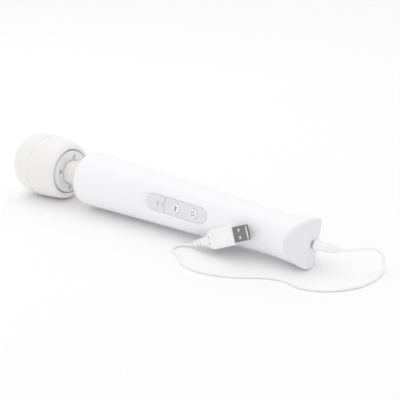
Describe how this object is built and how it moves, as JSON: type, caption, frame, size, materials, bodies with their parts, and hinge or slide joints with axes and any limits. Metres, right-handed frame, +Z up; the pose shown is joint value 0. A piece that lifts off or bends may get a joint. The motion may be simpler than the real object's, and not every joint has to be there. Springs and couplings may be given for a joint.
{
  "type": "wand massager",
  "caption": "Handheld wand massager: silicone head on a flexible neck, tapered handle with push keys, concave tail with a plugged-in charging lead.",
  "frame": {"origin": "on the ground under the centre of the wand's box, measured without the charging lead", "axes": "+Z up; +X along the wand from its head to its tail; the control panel faces sideways towards -Y"},
  "size_m": [0.3688, 0.0903, 0.0569],
  "materials": {
    "cushion_silicone": "satin",
    "handle_plastic": "satin",
    "tail_plastic": "satin",
    "panel_silver": "satin silver paint",
    "key_white": "gloss",
    "collar_silver": "satin silver paint",
    "neck_silicone": "satin",
    "inner_plastic": "moulded",
    "screw_steel": "zinc plated",
    "motor_steel": "zinc plated",
    "weight_steel": "sintered",
    "neck_rubber": "moulded",
    "wire_insulation": "satin",
    "board_green": "solder mask",
    "chip_black": "moulded",
    "switch_metal": "stamped",
    "cell_wrap": "shrink film",
    "contact_nickel": "plated",
    "socket_black": "moulded",
    "cord_white": "satin",
    "plug_white": "satin",
    "usb_steel": "plated",
    "contact_gold": "gold plated",
    "barrel_metal": "plated"
  },
  "bodies": {
    "handle": {"front_cap": "handle_plastic", "neck_retainer": "inner_plastic", "retainer_screws": "screw_steel", "handle_front_shell": "handle_plastic", "handle_back_shell": "handle_plastic", "case_screws": "screw_steel", "tail_cap": "tail_plastic", "control_panel": "panel_silver", "circuit_board": "board_green", "board_screws": "screw_steel", "controller_chip": "chip_black", "charger_chip": "chip_black", "tact_switches": "switch_metal", "battery_cell_front": "cell_wrap", "battery_cell_rear": "cell_wrap", "battery_holder": "inner_plastic", "battery_contacts": "contact_nickel", "battery_leads": "wire_insulation", "handle_leads": "wire_insulation", "charging_socket": "socket_black", "socket_pin": "contact_nickel", "socket_leads": "wire_insulation", "barrel_sleeve": "barrel_metal", "barrel_grip": "plug_white", "barrel_relief": "plug_white", "charging_cord": "cord_white", "usb_relief": "plug_white", "usb_overmould": "plug_white", "usb_shell": "usb_steel", "usb_tongue": "plug_white", "usb_contacts": "contact_gold"},
    "neck": {"neck_sleeve": "neck_silicone", "neck_core": "neck_rubber", "motor_leads": "wire_insulation"},
    "head": {"head_cushion": "cushion_silicone", "head_cup": "inner_plastic", "head_base": "inner_plastic", "collar_half_upper": "collar_silver", "collar_half_lower": "collar_silver", "collar_screws": "screw_steel", "motor_can": "motor_steel", "motor_bracket": "inner_plastic"},
    "rotor": {"motor_shaft": "motor_steel", "eccentric_weight": "weight_steel"},
    "speed_press": {"speed_key": "panel_silver", "speed_plunger": "chip_black"},
    "mode_press": {"mode_button": "key_white", "mode_plunger": "chip_black"},
    "power_press": {"power_button": "key_white", "power_plunger": "chip_black"}
  },
  "joints": [
    {"name": "neck_tilt", "type": "hinge", "parent": "handle", "child": "neck", "pos_m": [-0.08319, 0, 0.02706], "axis": [0, 1, 0], "range_deg": [-15, 15], "stiffness_Nm_per_rad": 6, "deforming": ["neck_sleeve", "neck_core", "motor_leads"]},
    {"name": "neck_swing", "type": "hinge", "parent": "neck", "child": "head", "pos_m": [-0.09419, 0, 0.02736], "axis": [0.0279, 0, 0.9996], "range_deg": [-15, 15], "stiffness_Nm_per_rad": 6, "deforming": ["neck_sleeve", "neck_core", "motor_leads"]},
    {"name": "motor_spin", "type": "hinge", "parent": "head", "child": "rotor", "pos_m": [-0.14717, 0, 0.02884], "axis": [0.9996, 0, -0.0279], "continuous": true},
    {"name": "speed_push", "type": "slide", "parent": "handle", "child": "speed_press", "axis": [-0.0067, 0.9711, -0.2384], "range_m": [0, 0.0006], "stiffness_N_per_m": 1500},
    {"name": "mode_push", "type": "slide", "parent": "handle", "child": "mode_press", "axis": [-0.0067, 0.9711, -0.2384], "range_m": [0, 0.0006], "stiffness_N_per_m": 1500},
    {"name": "power_push", "type": "slide", "parent": "handle", "child": "power_press", "axis": [-0.0067, 0.9711, -0.2384], "range_m": [0, 0.0006], "stiffness_N_per_m": 1500}
  ]
}
